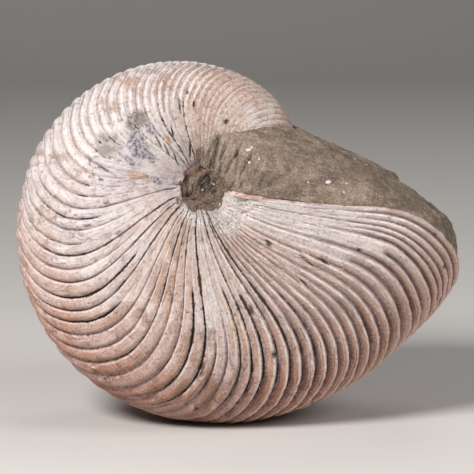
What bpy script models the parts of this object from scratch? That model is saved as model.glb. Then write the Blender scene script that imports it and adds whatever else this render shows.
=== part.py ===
# Fossil nautiloid: a coiled, ribbed shell whose mouth and navels are filled with stone.
#
# The coil's mid-plane is y = 0 and the near flank faces -Y. Angles around the coil run
# from +X towards +Z, and the shell grows that way, so the mouth is at the right with its
# stone facing up, and the oldest turn that still shows is at the top. A section angle is
# 0 on the belly, which is the outer edge, and grows over the flank towards the navel.
# Lengths are in metres, angles in degrees, and +Z is up.
import math

import bmesh
import bpy
from mathutils import Vector

# Coil
MOUTH_RADIUS = 0.0983          # axis to belly near the mouth
TURN_GROWTH = 2.86             # each full turn is this many times larger than the last
COIL_DRIFT = ((0.036, -0.103), (0.008, 0.030), (0.002, 0.008))   # slow departures, as log radius
OLD_FULLNESS = 0.035           # the oldest part that shows is this much fuller, as log radius
FULLER_FROM = 285.0            # degrees back round the coil where that begins
FULLEST_FROM = 330.0
SECTION_CENTRE = 0.403         # middle of the whorl's section, as a share of its radius
SECTION_HALF_WIDTH = 0.48      # half its breadth, as a share of its radius
SECTION_POWER = 2.2            # 2 makes it an ellipse, and more makes it squarer
NAVEL_RIM = 120.0              # section angle where the flank drops into the navel

# Lip and growth lines
LIP_ANGLE = -4.5               # where the broken lip lies on the shoulder
SHOULDER = 70.0                # section angle where growth lines reach furthest forward
BELLY_SWEEP = 25.0             # how far they fall back from there to the belly
BELLY_POWER = 1.2
BELLY_ROUNDING = 3.0           # keeps their turn on the belly from being a sharp point
NAVEL_SWEEP = 21.0             # how far they fall back from the shoulder to the navel
NAVEL_SPAN = 60.0
STRAIGHT_NEAR_LIP = 32.0       # over this stretch the last ones run straight to the navel

# Ribs
STEP_OLD = 4.2                 # spacing on the oldest quarter that shows
STEP_MIDDLE = 5.3
STEP_YOUNG = 3.4               # spacing near the mouth
TO_MIDDLE_STEP = (-250, -215)  # turns between which the spacing changes
TO_YOUNG_STEP = (-98, -48)
DEPTH_OLD = 0.00035
DEPTH_MIDDLE = 0.00100
DEPTH_YOUNG = 0.00120
TO_MIDDLE_DEPTH = (-270, -200)
TO_YOUNG_DEPTH = (-110, -50)
CREST_PLACE = 0.70             # a rib rises slowly from one groove and drops sharply to the next
GROOVES_FADE = 84.0            # section angles between which grooves die out
GROOVES_END = 118.0

# Stone and the chamber that it fills
WALL_AT_LIP = 0.0013
WALL_INSIDE = 0.0030
CHAMBER_TURN = 14.0            # how far back from the lip the stone reaches
NAVEL_TURN = 6.0               # by the navel the chamber's end stands this far ahead of the lip
LEAST_CHAMBER_TURN = 0.5
GAP = 0.0003                   # clearance between shell and stone
FACET_GAP = 0.0006             # clearance over a curved surface that flat facets cut across
EDGE_THICKNESS = 0.0020        # of the stone where it laps on the older turn
EDGE_BELLY = -336.0            # angle where it ends there, on the belly and by the navel
EDGE_NAVEL = -264.0
EDGE_CORNER = 10.0             # it reaches this much further at a corner on the shoulder
CORNER_PLACE = 85.0
CORNER_SPREAD = 8.0
BULGE_BELLY = 0.150            # steepness of the stone's swelling beyond a flat fill
BULGE_FLANK = 0.015
BULGE_SPREAD = 33.0            # section angle over which the swelling fades
LEAN_SPREAD = 60.0             # and over which it turns from leaning forward to upright
BULGE_SKEW = 1.9               # more moves the swelling towards the lip
BULGE_LEAN = Vector((0.8, 0.0, 0.6))
NAVEL_INSET = 0.15             # the mouth's stone ends this share of a column before the navel

# Navel
PIT_FLOOR = 0.0118             # distance of the pit's floor from the mid-plane
PIT_RADIUS = 0.0030
PLUG_OLD = 0.92                # how high the plug stands in the pit, by the older turn
PLUG_YOUNG = 0.80              # and by the youngest
REACH_BY_LIP = 0.0103          # how far the plug runs out over the older turn by the lip
REACH_BY_EDGE = 0.0076         # and at its far edge
REACH_LOW = 0.0190             # lower side of that part, as a distance from the mid-plane
HIGH_BY_LIP = 0.0385           # and its upper side
HIGH_BY_EDGE = 0.0215
PLUG_TOP = 0.0235              # height of the plug's middle
PLUG_CLEAR = 4.0               # angles kept clear of the chamber's end

# Rest
WORN_DEPTH = 0.0016            # depth of the worn flat spot underneath

# Fineness
COLUMNS = 22                   # steps from navel to navel
HIDDEN_ROWS = 4                # rows of the older turn that the stone covers
WALL_ROWS = 2
FLOOR_ROWS = 4
UNDER_ROWS = 6
TOP_ROWS = 9
TOP_CROWDING = 1.5             # more crowds the rows of the stone's face towards the lip
PLUG_STEPS = 20
PLUG_OPEN_STEPS = 6

SHARP_FROM = 15.0              # edges bent more than this are drawn sharp

TURN = 360.0
SLOPE_STEP = 0.2
GROWTH_RATE = math.log(TURN_GROWTH) / (2 * math.pi)
COLUMN_ANGLES = [NAVEL_RIM * (2 * j / COLUMNS - 1) for j in range(COLUMNS + 1)]


def smooth(value, low, high):
    """0 below low, 1 above high, and an S-curve between."""
    t = min(1.0, max(0.0, (value - low) / (high - low)))
    return t * t * (3 - 2 * t)


def blend(a, b, t):
    return a + (b - a) * t


# The coil as a smooth envelope

def coil_radius(angle):
    """Distance from the axis to the belly."""
    a = math.radians(angle)
    log_radius = GROWTH_RATE * a
    for order, (cos_part, sin_part) in enumerate(COIL_DRIFT, start=1):
        log_radius += cos_part * math.cos(order * a) + sin_part * math.sin(order * a)
    log_radius += OLD_FULLNESS * smooth(-angle, FULLER_FROM, FULLEST_FROM)
    return MOUTH_RADIUS * math.exp(log_radius)


def whorl_section(across):
    """Outward and sideways shares of the coil's radius at a section angle."""
    b = math.radians(across)
    c, s = math.cos(b), math.sin(b)
    reach = (abs(c) ** SECTION_POWER + abs(s) ** SECTION_POWER) ** (-1 / SECTION_POWER)
    return SECTION_CENTRE + (1 - SECTION_CENTRE) * reach * c, SECTION_HALF_WIDTH * reach * s


def growth_line(turn, across):
    """How far along the coil a growth line has moved at a section angle."""
    past = math.hypot(across, BELLY_ROUNDING) - SHOULDER
    if past < 0:
        return -BELLY_SWEEP * (-past / SHOULDER) ** BELLY_POWER
    straight = smooth(turn, LIP_ANGLE - STRAIGHT_NEAR_LIP, LIP_ANGLE)
    return -NAVEL_SWEEP * (1 - straight) * (past / NAVEL_SPAN) ** 2


def ring_point(angle, out, side):
    """The point at an angle round the coil's axis, a distance out and a distance sideways."""
    a = math.radians(angle)
    return Vector((out * math.cos(a), -side, out * math.sin(a)))


def coil_point(turn, across):
    """A point of the envelope, on the growth line that passes the shoulder at turn."""
    angle = turn + growth_line(turn, across)
    radius = coil_radius(angle)
    out, side = whorl_section(across)
    return ring_point(angle, radius * out, radius * side)


def coil_normal(turn, across):
    """The envelope's outward normal there."""
    forward = coil_point(turn + SLOPE_STEP, across) - coil_point(turn - SLOPE_STEP, across)
    sideways = coil_point(turn, across + SLOPE_STEP) - coil_point(turn, across - SLOPE_STEP)
    return forward.cross(sideways).normalized()


def below(turn, across, depth):
    """A point that lies a depth below the envelope."""
    return coil_point(turn, across) - coil_normal(turn, across) * depth


def forward_of(point, distance):
    """A point moved a distance round the axis, the way the shell grows."""
    return point + Vector((-point.z, 0.0, point.x)).normalized() * distance


# Ribs

def rib_step(turn):
    step = blend(STEP_OLD, STEP_MIDDLE, smooth(turn, *TO_MIDDLE_STEP))
    return blend(step, STEP_YOUNG, smooth(turn, *TO_YOUNG_STEP))


def groove_depth(turn, across):
    """Grooves deepen towards the mouth and die out towards the navel."""
    depth = blend(DEPTH_OLD, DEPTH_MIDDLE, smooth(turn, *TO_MIDDLE_DEPTH))
    depth = blend(depth, DEPTH_YOUNG, smooth(turn, *TO_YOUNG_DEPTH))
    return depth * (1 - smooth(abs(across), GROOVES_FADE, GROOVES_END))


def rib_rows():
    """Rows of skin up to the lip, each with its turn and its share of the groove depth."""
    rows = [(LIP_ANGLE, 0.0)]
    turn = LIP_ANGLE
    oldest = old_turn_start(NAVEL_RIM) + LEAST_CHAMBER_TURN
    while turn - rib_step(turn) > oldest:
        step = rib_step(turn)
        turn -= step
        rows.append((turn + step * CREST_PLACE, 0.0))
        rows.append((turn, 1.0))
    return rows[::-1]


# Shell

def chamber_turn(across):
    """How far behind the lip the chamber ends."""
    return blend(CHAMBER_TURN, -NAVEL_TURN, smooth(abs(across), SHOULDER, NAVEL_RIM))


def wall_point(across, t, gap):
    """A point of the chamber's outer wall, from the lip at t = 0 to its end at t = 1."""
    length = max(chamber_turn(across), LEAST_CHAMBER_TURN)
    return below(LIP_ANGLE - length * t, across, blend(WALL_AT_LIP, WALL_INSIDE, t) + gap)


def old_turn_start(across):
    """The turn at which the chamber's end meets the older turn's skin."""
    lip = LIP_ANGLE + growth_line(LIP_ANGLE, across)
    return lip - TURN - chamber_turn(across) - growth_line(LIP_ANGLE - TURN, across)


def shell_column(across, rows):
    """The shell's outline at one section angle: once round the coil, then back by the chamber."""
    start = old_turn_start(across)
    points = []
    for k in range(HIDDEN_ROWS):
        points.append(coil_point(blend(start, rows[0][0], k / HIDDEN_ROWS), across))
    for turn, share in rows:
        points.append(below(turn, across, share * groove_depth(turn, across)))
    for k in range(WALL_ROWS + 1):
        points.append(wall_point(across, k / WALL_ROWS, 0.0))
    end = points[-1]
    for k in range(1, FLOOR_ROWS):
        points.append(end.lerp(points[0], k / FLOOR_ROWS))
    return points


def pit_floor(rim, skin_count, side):
    """The ring round a navel pit's floor, with one point for each point of the pit's rim."""
    turns = [math.degrees(math.atan2(p.z, p.x)) for p in rim[:skin_count]]
    for k in range(1, skin_count):
        while turns[k] < turns[k - 1]:
            turns[k] += TURN
    back = len(rim) - skin_count
    turns += [blend(turns[-1], turns[0] + TURN, (k + 1) / (back + 1)) for k in range(back)]
    return [ring_point(t, PIT_RADIUS, side * PIT_FLOOR) for t in turns]


def make_shell():
    rows = rib_rows()
    columns = [shell_column(across, rows) for across in COLUMN_ANGLES]
    skin_count = HIDDEN_ROWS + len(rows)
    loops = [pit_floor(columns[0], skin_count, -1)] + columns
    loops.append(pit_floor(columns[-1], skin_count, 1))
    return lofted_mesh("ribbed_shell", loops, (-PIT_FLOOR, PIT_FLOOR))


# Stone

def stone_edge(across):
    """The turn at which the stone ends on the older turn."""
    angle = blend(EDGE_BELLY, EDGE_NAVEL, (across / NAVEL_RIM) ** 2)
    angle += EDGE_CORNER * math.exp(-((abs(across) - CORNER_PLACE) / CORNER_SPREAD) ** 2)
    return angle - growth_line(angle, across)


def swelling(across, t):
    """How far the stone's open face swells, at a share t of the way from lip to edge."""
    spread = math.exp(-(across / BULGE_SPREAD) ** 2)
    lean = Vector((0, 0, 1)).lerp(BULGE_LEAN, math.exp(-(across / LEAN_SPREAD) ** 2)).normalized()
    height = BULGE_FLANK + BULGE_BELLY * spread
    return lean * (height * t * (1 - t) * math.exp(-BULGE_SKEW * t))


def stone_column(across):
    """The stone's outline at one section angle, under it and back over its open face."""
    points = [wall_point(across, 0.0, GAP)]
    for k in range(1, WALL_ROWS + 1):
        points.append(forward_of(wall_point(across, k / WALL_ROWS, GAP), 2 * GAP))
    start, edge = old_turn_start(across), stone_edge(across)
    under = [below(blend(start, edge, k / UNDER_ROWS), across, -FACET_GAP)
             for k in range(UNDER_ROWS + 1)]
    under[0] = forward_of(under[0], 2 * GAP)
    for k in range(1, FLOOR_ROWS):
        points.append(points[WALL_ROWS].lerp(under[0], k / FLOOR_ROWS))
    points += under
    top = below(edge, across, -FACET_GAP - EDGE_THICKNESS)
    for k in range(TOP_ROWS):
        t = (1 - k / TOP_ROWS) ** TOP_CROWDING
        points.append(points[0].lerp(top, t) + swelling(across, t))
    return points


def plug_column(angle, is_open, share=0.0):
    """Half the outline of a navel plug at an angle, as distances out and sideways."""
    radius = coil_radius(angle)
    out, side = whorl_section(NAVEL_RIM)
    rim = (radius * out - FACET_GAP, radius * side + FACET_GAP)
    floor = (PIT_RADIUS - FACET_GAP, PIT_FLOOR + FACET_GAP)
    if is_open:
        reach = blend(REACH_BY_LIP, REACH_BY_EDGE, share)
        high = blend(HIGH_BY_LIP, HIGH_BY_EDGE, share)
        far = [rim, (reach, REACH_LOW), (reach, high)]
    else:
        high = blend(PLUG_OLD, PLUG_YOUNG, smooth(angle, EDGE_NAVEL, LIP_ANGLE))
        far = [(blend(floor[0], rim[0], h), blend(floor[1], rim[1], h))
               for h in (high * 0.5, high * 0.9, high)]
    return [floor] + far


def make_plug(name, side_sign):
    """The stone in one navel, as a body of its own that is then joined to the rest."""
    after_lip = LIP_ANGLE - TURN + NAVEL_TURN + PLUG_CLEAR
    profiles = [(after_lip - PLUG_CLEAR / 2, plug_column(after_lip, False))]
    for k in range(PLUG_OPEN_STEPS + 1):
        share = k / (PLUG_OPEN_STEPS + 1)
        angle = blend(after_lip, EDGE_NAVEL, share)
        profiles.append((angle, plug_column(angle, True, share)))
    for k in range(PLUG_STEPS):
        angle = blend(EDGE_NAVEL, LIP_ANGLE - PLUG_CLEAR, k / (PLUG_STEPS - 1))
        profiles.append((angle, plug_column(angle, False)))
    loops = []
    for level in range(len(profiles[0][1])):
        loops.append([ring_point(a, p[level][0], side_sign * p[level][1]) for a, p in profiles])
    return lofted_mesh(name, loops, (side_sign * PIT_FLOOR + side_sign * FACET_GAP,
                                     side_sign * PLUG_TOP))


def make_stone():
    columns = [stone_column(across) for across in COLUMN_ANGLES]
    for rim, inner in ((0, 1), (-1, -2)):
        columns[rim] = [p.lerp(q, NAVEL_INSET) for p, q in zip(columns[rim], columns[inner])]
    stone = lofted_mesh("stone_fill", columns, None)
    for name, side_sign in (("near_plug", 1), ("far_plug", -1)):
        plug = make_plug(name, side_sign)
        plug.hide_render = True
        plug.display_type = "WIRE"
        join = stone.modifiers.new(name, "BOOLEAN")
        join.operation = "UNION"
        join.object = plug
    return stone


# Meshes

def lofted_mesh(name, loops, tips):
    """A closed body through rings of points, ended on the axis at tips or by flat caps."""
    bm = bmesh.new()
    rings = [[bm.verts.new(p) for p in loop] for loop in loops]
    for low, high in zip(rings, rings[1:]):
        for k in range(len(low)):
            n = (k + 1) % len(low)
            bm.faces.new((low[k], low[n], high[n], high[k]))
    if tips is None:
        bm.faces.new(rings[0][::-1])
        bm.faces.new(rings[-1])
    else:
        for ring, side in zip((rings[0], rings[-1]), tips):
            middle = bm.verts.new(ring_point(0, 0, side))
            for k in range(len(ring)):
                bm.faces.new((ring[k], ring[(k + 1) % len(ring)], middle))
    bmesh.ops.recalc_face_normals(bm, faces=bm.faces)
    if bm.calc_volume(signed=True) < 0:
        bmesh.ops.reverse_faces(bm, faces=bm.faces)
    mesh = bpy.data.meshes.new(name)
    bm.to_mesh(mesh)
    bm.free()
    obj = bpy.data.objects.new(name, mesh)
    bpy.context.scene.collection.objects.link(obj)
    return obj


def set_on_ground(objects):
    """Wears the flat spot, then puts the origin under the middle of the whole object."""
    points = [v.co for obj in objects for v in obj.data.vertices]
    ground = min(p.z for p in points) + WORN_DEPTH
    middle = (min(p.x for p in points) + max(p.x for p in points)) / 2
    for p in points:
        p.z = max(p.z, ground) - ground
        p.x -= middle


def finish(obj, colour, roughness):
    mat = bpy.data.materials.new(obj.name)
    mat.use_nodes = True
    shader = mat.node_tree.nodes["Principled BSDF"]
    shader.inputs["Base Color"].default_value = (*colour, 1.0)
    shader.inputs["Roughness"].default_value = roughness
    shader.inputs["Metallic"].default_value = 0.0
    obj.data.materials.append(mat)
    obj.data.shade_smooth()
    obj.data.set_sharp_from_angle(angle=math.radians(SHARP_FROM))


def main():
    for obj in list(bpy.data.objects):
        bpy.data.objects.remove(obj)
    shell = make_shell()
    stone = make_stone()
    set_on_ground(list(bpy.data.objects))
    finish(shell, (0.62, 0.50, 0.41), 0.75)
    finish(stone, (0.20, 0.175, 0.125), 0.95)


main()
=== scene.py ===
# Looks of the fossil nautiloid: its ribbed shell, the stone that fills it, and a plain studio.
#
# The coil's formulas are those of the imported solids, so that every piece lies on them. The
# coil's mid-plane is y = 0 and the near flank faces -Y. Angles round the coil run from +X
# towards +Z, the way the shell grew. A section angle ("across") is 0 on the belly, positive
# on the near flank and negative on the far one, and its size grows towards the navel.
# A "turn" names a growth line by the angle at which it crosses the shoulder. Lengths are in
# metres unless a name says otherwise, and angles are in degrees.
import itertools
import math

import bmesh
import bpy
import numpy as np
from mathutils import Matrix, Vector


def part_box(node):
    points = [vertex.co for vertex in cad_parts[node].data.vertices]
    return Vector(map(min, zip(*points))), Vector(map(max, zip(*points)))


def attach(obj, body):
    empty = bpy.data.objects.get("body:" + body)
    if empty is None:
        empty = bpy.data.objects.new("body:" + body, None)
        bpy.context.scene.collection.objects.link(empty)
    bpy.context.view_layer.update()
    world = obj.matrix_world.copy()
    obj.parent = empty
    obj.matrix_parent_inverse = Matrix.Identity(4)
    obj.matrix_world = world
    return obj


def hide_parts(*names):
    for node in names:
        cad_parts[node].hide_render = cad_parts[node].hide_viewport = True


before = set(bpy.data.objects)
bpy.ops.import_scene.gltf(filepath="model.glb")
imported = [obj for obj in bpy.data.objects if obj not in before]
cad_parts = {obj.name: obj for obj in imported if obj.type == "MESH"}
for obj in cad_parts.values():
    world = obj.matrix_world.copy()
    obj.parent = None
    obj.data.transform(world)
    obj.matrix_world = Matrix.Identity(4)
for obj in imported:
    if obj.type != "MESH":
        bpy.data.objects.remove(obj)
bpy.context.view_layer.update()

MM = 0.001

# Camera, as it stood for the photograph
IMAGE = 474
MM_PER_PIXEL = 0.338
COIL_PIXEL = (190.0, 177.9)    # where the photograph shows the middle of the coil
CAMERA_DISTANCE = 2800         # in the photograph's pixels
CAMERA_ELEVATION = 8.693
CAMERA_AZIMUTH = -6.892
SENSOR = 36.0


def direction(azimuth, elevation):
    a, e = math.radians(azimuth), math.radians(elevation)
    return Vector((math.sin(a) * math.cos(e), -math.cos(a) * math.cos(e), math.sin(e)))


def camera_axes():
    right = direction(CAMERA_AZIMUTH + 90, 0)
    back = direction(CAMERA_AZIMUTH, CAMERA_ELEVATION)
    return right, back.cross(right), back


# Coil, as in the solids
MOUTH_RADIUS = 0.0983
TURN_GROWTH = 2.86
COIL_DRIFT = ((0.036, -0.103), (0.008, 0.030), (0.002, 0.008))
OLD_FULLNESS = 0.035
FULLER_FROM = 285.0
FULLEST_FROM = 330.0
SECTION_CENTRE = 0.403
SECTION_HALF_WIDTH = 0.48
SECTION_POWER = 2.2
NAVEL_RIM = 120.0
LIP_ANGLE = -4.5
SHOULDER = 70.0
BELLY_SWEEP = 25.0
BELLY_POWER = 1.2
BELLY_ROUNDING = 3.0
NAVEL_SWEEP = 21.0
NAVEL_SPAN = 60.0
STRAIGHT_NEAR_LIP = 32.0
STEP_OLD = 4.2
STEP_MIDDLE = 5.3
STEP_YOUNG = 3.4
STEP_CROWDED = 1.9
WALL_AT_LIP = 0.0013
WALL_INSIDE = 0.0030
CHAMBER_TURN = 14.0
NAVEL_TURN = 6.0
LEAST_CHAMBER_TURN = 0.5
EDGE_BELLY = -336.0
EDGE_NAVEL = -264.0
EDGE_CORNER = 10.0
CORNER_PLACE = 85.0
CORNER_SPREAD = 8.0
BULGE_BELLY = 0.150
BULGE_FLANK = 0.015
BULGE_SPREAD = 33.0
LEAN_SPREAD = 60.0
BULGE_SKEW = 1.9
BULGE_LEAN = np.array((0.8, 0.0, 0.6))
PIT_FLOOR = 0.0118
PIT_RADIUS = 0.0030
TURN = 360.0
TAU = 2 * math.pi
GROWTH_RATE = math.log(TURN_GROWTH) / TAU

# How far the growth lines' bend at the shoulder is rounded off
BEND_ROUNDING = 15.0
BEND_AT_LIP = 6.0

# Fineness of the shell's mesh: where its rows lie in each rib, from one groove (0) to the next
# (1), for the ribs before each turn. They are hidden ribs, then ridged, flat, toothed and
# crowded ones.
RIB_PHASES = (
    (-344, (0.0, 0.5)),
    (-196, (0.0, 0.14, 0.28, 0.42, 0.56, 0.70, 0.85)),
    (-90, (0.0, 0.05, 0.12, 0.28, 0.50, 0.72, 0.88, 0.95)),
    (-13, (0.0, 0.05, 0.12, 0.26, 0.42, 0.56, 0.66, 0.72, 0.77, 0.82, 0.91)),
    (0, (0.0, 0.15, 0.40, 0.62, 0.74, 0.82)),
)
NEAR_COLUMNS = 94
FAR_COLUMNS = 46
PIT_COLUMNS = 3
LIP_FLARE = 0.7 * MM
RIB_SEED = 7


def smooth(value, start, end):
    """An S-curve from 0 at the start to 1 at the end, which may be the lower of the two."""
    t = np.clip((value - start) / (end - start), 0.0, 1.0)
    return t * t * (3 - 2 * t)


def blend(a, b, t):
    return a + (b - a) * t


def band(value, low, high, soft):
    """1 between two values and 0 outside, with soft ends."""
    return smooth(value, low - soft, low) * smooth(value, high + soft, high)


# The coil's envelope, for arrays of angles

def coil_radius(angle):
    a = np.radians(angle)
    log_radius = GROWTH_RATE * a
    for order, (cos_part, sin_part) in enumerate(COIL_DRIFT, start=1):
        log_radius = log_radius + cos_part * np.cos(order * a) + sin_part * np.sin(order * a)
    log_radius = log_radius + OLD_FULLNESS * smooth(-angle, FULLER_FROM, FULLEST_FROM)
    return MOUTH_RADIUS * np.exp(log_radius)


def whorl_section(across):
    """Outward and sideways shares of the coil's radius at a section angle."""
    b = np.radians(across)
    c, s = np.cos(b), np.sin(b)
    reach = (abs(c) ** SECTION_POWER + abs(s) ** SECTION_POWER) ** (-1 / SECTION_POWER)
    return SECTION_CENTRE + (1 - SECTION_CENTRE) * reach * c, SECTION_HALF_WIDTH * reach * s


def growth_line(turn, across):
    """How far along the coil a growth line has moved at a section angle."""
    straight = smooth(turn, LIP_ANGLE - STRAIGHT_NEAR_LIP, LIP_ANGLE)
    total = 0.0
    for k in (-1.0, -0.5, 0.0, 0.5, 1.0):
        nearby = across + k * blend(BEND_ROUNDING, BEND_AT_LIP, straight)
        past = np.hypot(nearby, BELLY_ROUNDING) - SHOULDER
        belly = -BELLY_SWEEP * (np.maximum(-past, 0) / SHOULDER) ** BELLY_POWER
        total += belly - NAVEL_SWEEP * (1 - straight) * (np.maximum(past, 0) / NAVEL_SPAN) ** 2
    return total / 5


def ring_point(angle, out, side):
    a = np.radians(angle)
    return np.stack((out * np.cos(a), -side + 0 * a, out * np.sin(a)), axis=-1)


def coil_point(turn, across):
    angle = turn + growth_line(turn, across)
    radius = coil_radius(angle)
    out, side = whorl_section(across)
    return ring_point(angle, radius * out, radius * side)


def unit(vectors):
    return vectors / np.maximum(np.linalg.norm(vectors, axis=-1, keepdims=True), 1e-12)


def coil_normal(turn, across, step=0.2):
    forward = coil_point(turn + step, across) - coil_point(turn - step, across)
    sideways = coil_point(turn, across + step) - coil_point(turn, across - step)
    return unit(np.cross(forward, sideways))


def below(turn, across, depth):
    depth = np.asarray(depth)[..., None]
    return coil_point(turn, across) - coil_normal(turn, across) * depth


def chamber_turn(across):
    return blend(CHAMBER_TURN, -NAVEL_TURN, smooth(abs(across), SHOULDER, NAVEL_RIM))


def wall_point(across, t, gap):
    length = np.maximum(chamber_turn(across), LEAST_CHAMBER_TURN)
    return below(LIP_ANGLE - length * t, across, blend(WALL_AT_LIP, WALL_INSIDE, t) + gap)


def old_turn_start(across):
    lip = LIP_ANGLE + growth_line(LIP_ANGLE, across)
    return lip - TURN - chamber_turn(across) - growth_line(LIP_ANGLE - TURN, across)


def stone_edge(across):
    """The turn at which the stone ends on the older turn."""
    angle = blend(EDGE_BELLY, EDGE_NAVEL, (across / NAVEL_RIM) ** 2)
    angle = angle + EDGE_CORNER * np.exp(-((abs(across) - CORNER_PLACE) / CORNER_SPREAD) ** 2)
    return angle - growth_line(angle, across)


# Noise, the same on each run

def lattice_noise(points, seed):
    """Smooth noise from -1 to 1 at an array of points."""
    cell = np.floor(points).astype(np.int64)
    part = points - cell
    part = part * part * (3 - 2 * part)
    total = np.zeros(points.shape[:-1])
    for corner in itertools.product((0, 1), repeat=3):
        at = cell + np.array(corner)
        mixed = (at[..., 0] * 374761393 + at[..., 1] * 668265263 + at[..., 2] * 2147483647
                 + seed * 1274126177) & 0xFFFFFFFF
        mixed = ((mixed ^ (mixed >> 13)) * 1274126177) & 0xFFFFFFFF
        mixed = ((mixed ^ (mixed >> 16)) * 2246822519) & 0xFFFFFFFF
        value = (mixed ^ (mixed >> 15)) / 2.0 ** 31 - 1
        weight = np.ones(points.shape[:-1])
        for axis in range(3):
            weight = weight * (part[..., axis] if corner[axis] else 1 - part[..., axis])
        total += value * weight
    return total


def noise(points, size, seed, octaves=2):
    """Several sizes of noise, the largest with features of the given size."""
    total, height, whole = 0.0, 1.0, 0.0
    for octave in range(octaves):
        total = total + height * lattice_noise(points / size * 2 ** octave, seed + octave)
        whole += height
        height *= 0.5
    return total / whole


def flat_points(u, v):
    """Points for noise that is a function of two coordinates."""
    u, v = np.broadcast_arrays(u, v)
    return np.stack((u, v, np.zeros_like(u)), axis=-1)


def flat_noise(u, v, seed, octaves=2):
    return noise(flat_points(u, v), 1.0, seed, octaves)


# Marks on the near flank, each an ellipse: its turn and section angle, then half its length round
# the coil and half its length along the growth line, in millimetres. Pits are holes and short
# cracks, and beside a flake a pit's dark is the flake's painted shadow. Flakes stand up, most of
# them beside such a pit.
MARKS = {
    "grey": ((-226, 64, 4.0, 3.6), (-206, 61, 1.4, 1.8)),
    "ash": ((-204, 64, 4.3, 4.4),),
    "violet": ((-216, 79, 3.8, 4.6), (-230, 75, 1.6, 2.6), (-211, 91, 1.5, 2.2),
               (-201, 81, 0.9, 3.4), (-186, 101, 0.8, 3.0), (-186, 103, 1.2, 1.7)),
    "grime": ((-226, 24, 7.0, 8.0), (-240, 34, 4.0, 5.0), (-214, 40, 3.5, 4.0),
              (-183, 60, 3.0, 5.0), (-176, 26, 5.0, 6.0), (-160, 40, 4.0, 5.0),
              (-274, 30, 4.0, 4.0)),
    "ochre": ((-236, 89, 0.9, 1.9), (-233, 93, 0.4, 1.4)),
    "rust": ((-190, 88, 1.3, 2.2), (-188, 95, 1.2, 2.4), (-7.5, 95, 0.5, 5.0)),
    "stain": ((-256, 117, 3.2, 3.4), (-268, 108, 1.6, 4.4), (-232, 118, 3.6, 1.7)),
    "pale": ((-113.5, 77, 1.0, 2.8),),
    "pit_and_shadow": ((-228, 87, 0.22, 2.4), (-227.5, 95, 0.28, 2.6), (-227, 104, 0.3, 2.8),
             (-245, 84, 0.3, 1.8), (-257, 65, 0.26, 3.4), (-256, 100, 0.34, 3.2),
             (-267, 63, 0.4, 1.3), (-261, 53, 0.35, 0.8), (-191, 71, 0.28, 2.2),
             (-185, 71, 0.22, 2.2), (-175, 64, 0.22, 2.0), (-171, 78, 0.26, 2.2),
             (-161, 69, 0.22, 1.6), (-295, 71, 0.7, 0.9), (-28.5, 83, 0.45, 2.0),
             (-106.3, 31, 0.3, 2.2), (-102.4, 30, 0.3, 1.8), (-80.2, 36, 0.35, 2.6),
             (-40.2, 83, 0.25, 2.4), (-31.0, 88, 0.3, 2.6), (-20, 75, 0.5, 0.6),
             (-9, 39, 0.7, 1.5), (-6, 51, 0.5, 0.7), (-32, 101, 0.8, 1.2), (-66, 83, 0.7, 2.0),
             (-64, 63, 0.8, 1.3), (-87, 61, 0.8, 3.2)),
    "flake": ((-29.0, 88, 0.5, 3.4), (-107.5, 31, 0.6, 2.3), (-103.5, 30, 0.6, 2.0),
              (-81.5, 37, 0.7, 2.4), (-76.5, 39, 0.5, 1.6), (-52.5, 103, 0.4, 1.8),
              (-45.5, 92, 0.35, 2.6), (-37.0, 101, 0.4, 1.6), (-41.0, 84, 0.35, 3.0),
              (-27.2, 86, 0.3, 2.6)),
    "bare": ((-81, 48, 2.4, 9.0), (-88.5, 46, 1.6, 8.0), (-95, 44, 2.2, 7.0)),
}


def mark_fields(points):
    """How strongly each kind of mark shows at each vertex."""
    fields = {}
    ragged = noise(points, 2.2 * MM, 31, 3)
    for kind, ellipses in MARKS.items():
        fields[kind] = 0.0
        for turn, across, half_round, half_along in ellipses:
            along_coil = coil_point(turn + 0.5, across) - coil_point(turn - 0.5, across)
            along_line = coil_point(turn, across + 0.5) - coil_point(turn, across - 0.5)
            away = points - coil_point(float(turn), float(across))
            far = np.linalg.norm(away, axis=-1) > 3 * max(half_round, half_along) * MM
            u = (away @ unit(along_coil)) / (half_round * MM)
            v = (away @ unit(along_line)) / (half_along * MM)
            inside = smooth(np.hypot(u, v) + 0.45 * ragged, 1.15, 0.75)
            fields[kind] = np.maximum(fields[kind], np.where(far, 0.0, inside))
    return fields


# Shell

def rib_step(turn):
    step = blend(STEP_OLD, STEP_MIDDLE, smooth(turn, -250, -215))
    step = blend(step, STEP_YOUNG, smooth(turn, -98, -48))
    return blend(step, STEP_CROWDED, smooth(turn, -16, -11))


def groove_turns(rng):
    """The turns of the grooves, from the oldest to the lip."""
    turns = [LIP_ANGLE]
    oldest = float(old_turn_start(NAVEL_RIM)) + LEAST_CHAMBER_TURN
    while turns[-1] > oldest + STEP_OLD:
        turns.append(turns[-1] - rib_step(turns[-1]) * rng.uniform(0.82, 1.18))
    return np.array(turns[::-1])


# Where grooves stop short of the navel: up to which turn, what share of them, and between
# which two section angles
GROOVE_ENDS = (
    (-262, 0.65, 52, 80),
    (-188, 0.72, 56, 72),
    (-135, 0.50, 58, 100),
    (-50, 0.42, 66, 98),
    (0, 0.75, 64, 92),
)
ENDLESS = 200.0


def groove_ends(turns, rng):
    """Where each groove ends. Most second grooves do, so that the others stay well apart."""
    chance, place = rng.uniform(size=(2, len(turns)))
    ends = np.full(len(turns), ENDLESS)
    for k, turn in enumerate(turns):
        _, share, low, high = next(zone for zone in GROOVE_ENDS if turn <= zone[0])
        second = k % 2 == 0
        if chance[k] < (min(2 * share - 0.1, 1.0) if second else max(2 * share - 0.95, 0.08)):
            ends[k] = blend(low, high, place[k])
    return ends


def rib_phases(turn):
    return next(phases for before, phases in RIB_PHASES if turn < before)


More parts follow.
